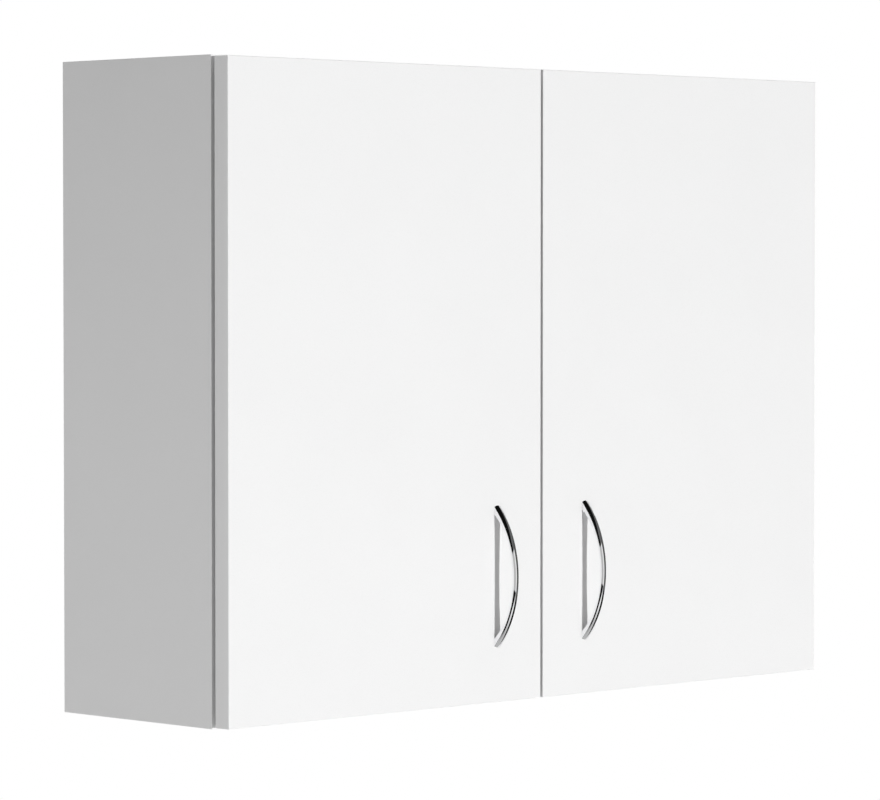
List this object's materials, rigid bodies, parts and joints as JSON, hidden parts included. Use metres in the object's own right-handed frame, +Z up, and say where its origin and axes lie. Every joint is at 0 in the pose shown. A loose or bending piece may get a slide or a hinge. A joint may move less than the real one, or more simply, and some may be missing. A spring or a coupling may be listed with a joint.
{
  "type": "hanging wall cabinet",
  "caption": "White hanging wall cabinet with hinged doors, chrome bow handles, a loose shelf, concealed hinges and adjustable hanging hooks.",
  "frame": {"origin": "on the wall plane, half way along the cabinet, level with its underside", "axes": "+X along the cabinet, to the right as seen from the front; +Y towards the wall; +Z up"},
  "size_m": [0.8, 0.2526, 0.6],
  "materials": {
    "white_board": "white melamine on particle board, satin",
    "white_hardboard": "white painted hardboard",
    "handle_chrome": "polished chrome plate",
    "hinge_steel": "nickel-plated pressed steel",
    "zinc_steel": "bright zinc plate",
    "white_plastic": "moulded white plastic",
    "clear_silicone": "clear silicone button"
  },
  "bodies": {
    "cabinet": {"side_panel_left": "white_board", "side_panel_right": "white_board", "top_panel": "white_board", "bottom_panel": "white_board", "back_panel": "white_hardboard", "shelf": "white_board", "shelf_pin_left_front": "zinc_steel", "shelf_pin_left_rear": "zinc_steel", "shelf_pin_right_front": "zinc_steel", "shelf_pin_right_rear": "zinc_steel", "cam_bottom_left_front": "zinc_steel", "cam_bottom_left_rear": "zinc_steel", "cam_bottom_right_front": "zinc_steel", "cam_bottom_right_rear": "zinc_steel", "cam_top_left_front": "zinc_steel", "cam_top_left_rear": "zinc_steel", "cam_top_right_front": "zinc_steel", "cam_top_right_rear": "zinc_steel", "hanger_housing_left": "white_plastic", "hanger_hook_left": "zinc_steel", "hanger_height_screw_left": "zinc_steel", "hanger_depth_screw_left": "zinc_steel", "wall_plate_left": "zinc_steel", "hinge_plate_left_lower": "hinge_steel", "hinge_arm_left_lower": "hinge_steel", "hinge_plate_left_upper": "hinge_steel", "hinge_arm_left_upper": "hinge_steel", "hanger_housing_right": "white_plastic", "hanger_hook_right": "zinc_steel", "hanger_height_screw_right": "zinc_steel", "hanger_depth_screw_right": "zinc_steel", "wall_plate_right": "zinc_steel", "hinge_plate_right_lower": "hinge_steel", "hinge_arm_right_lower": "hinge_steel", "hinge_plate_right_upper": "hinge_steel", "hinge_arm_right_upper": "hinge_steel"},
    "left_door": {"door_left": "white_board", "handle_left": "handle_chrome", "hinge_cup_left_lower": "hinge_steel", "handle_screw_left_lower": "zinc_steel", "hinge_cup_left_upper": "hinge_steel", "handle_screw_left_upper": "zinc_steel", "bumper_left_bottom": "clear_silicone", "bumper_left_top": "clear_silicone"},
    "left_lower_outer_link": {"hinge_outer_link_left_lower": "hinge_steel"},
    "left_lower_inner_link": {"hinge_inner_link_left_lower": "hinge_steel"},
    "left_upper_outer_link": {"hinge_outer_link_left_upper": "hinge_steel"},
    "left_upper_inner_link": {"hinge_inner_link_left_upper": "hinge_steel"},
    "right_door": {"door_right": "white_board", "handle_right": "handle_chrome", "hinge_cup_right_lower": "hinge_steel", "handle_screw_right_lower": "zinc_steel", "hinge_cup_right_upper": "hinge_steel", "handle_screw_right_upper": "zinc_steel", "bumper_right_bottom": "clear_silicone", "bumper_right_top": "clear_silicone"},
    "right_lower_outer_link": {"hinge_outer_link_right_lower": "hinge_steel"},
    "right_lower_inner_link": {"hinge_inner_link_right_lower": "hinge_steel"},
    "right_upper_outer_link": {"hinge_outer_link_right_upper": "hinge_steel"},
    "right_upper_inner_link": {"hinge_inner_link_right_upper": "hinge_steel"}
  },
  "joints": [
    {"name": "left_door_hinge", "type": "hinge", "parent": "cabinet", "child": "left_door", "pos_m": [-0.3915, -0.2165, 0.3], "axis": [0, 0, -1], "range_deg": [0, 95]},
    {"name": "left_lower_outer_link_pin", "type": "hinge", "parent": "cabinet", "child": "left_lower_outer_link", "pos_m": [-0.379, -0.201, 0.096], "axis": [0, 0, -1], "range_deg": [-28.2, 0]},
    {"name": "left_lower_inner_link_pin", "type": "hinge", "parent": "cabinet", "child": "left_lower_inner_link", "pos_m": [-0.372, -0.196, 0.096], "axis": [0, 0, -1], "range_deg": [0, 3.6]},
    {"name": "left_upper_outer_link_pin", "type": "hinge", "parent": "cabinet", "child": "left_upper_outer_link", "pos_m": [-0.379, -0.201, 0.504], "axis": [0, 0, -1], "range_deg": [-28.2, 0]},
    {"name": "left_upper_inner_link_pin", "type": "hinge", "parent": "cabinet", "child": "left_upper_inner_link", "pos_m": [-0.372, -0.196, 0.504], "axis": [0, 0, -1], "range_deg": [0, 3.6]},
    {"name": "right_door_hinge", "type": "hinge", "parent": "cabinet", "child": "right_door", "pos_m": [0.3915, -0.2165, 0.3], "axis": [0, 0, 1], "range_deg": [0, 95]},
    {"name": "right_lower_outer_link_pin", "type": "hinge", "parent": "cabinet", "child": "right_lower_outer_link", "pos_m": [0.379, -0.201, 0.096], "axis": [0, 0, 1], "range_deg": [-28.2, 0]},
    {"name": "right_lower_inner_link_pin", "type": "hinge", "parent": "cabinet", "child": "right_lower_inner_link", "pos_m": [0.372, -0.196, 0.096], "axis": [0, 0, 1], "range_deg": [0, 3.6]},
    {"name": "right_upper_outer_link_pin", "type": "hinge", "parent": "cabinet", "child": "right_upper_outer_link", "pos_m": [0.379, -0.201, 0.504], "axis": [0, 0, 1], "range_deg": [-28.2, 0]},
    {"name": "right_upper_inner_link_pin", "type": "hinge", "parent": "cabinet", "child": "right_upper_inner_link", "pos_m": [0.372, -0.196, 0.504], "axis": [0, 0, 1], "range_deg": [0, 3.6]}
  ],
  "couplings": [
    {"joint": "left_lower_outer_link_pin", "follows": "left_door_hinge", "ratio": -0.2958},
    {"joint": "left_lower_inner_link_pin", "follows": "left_door_hinge", "ratio": 0.0366},
    {"joint": "left_upper_outer_link_pin", "follows": "left_door_hinge", "ratio": -0.2958},
    {"joint": "left_upper_inner_link_pin", "follows": "left_door_hinge", "ratio": 0.0366},
    {"joint": "right_lower_outer_link_pin", "follows": "right_door_hinge", "ratio": -0.2958},
    {"joint": "right_lower_inner_link_pin", "follows": "right_door_hinge", "ratio": 0.0366},
    {"joint": "right_upper_outer_link_pin", "follows": "right_door_hinge", "ratio": -0.2958},
    {"joint": "right_upper_inner_link_pin", "follows": "right_door_hinge", "ratio": 0.0366}
  ]
}
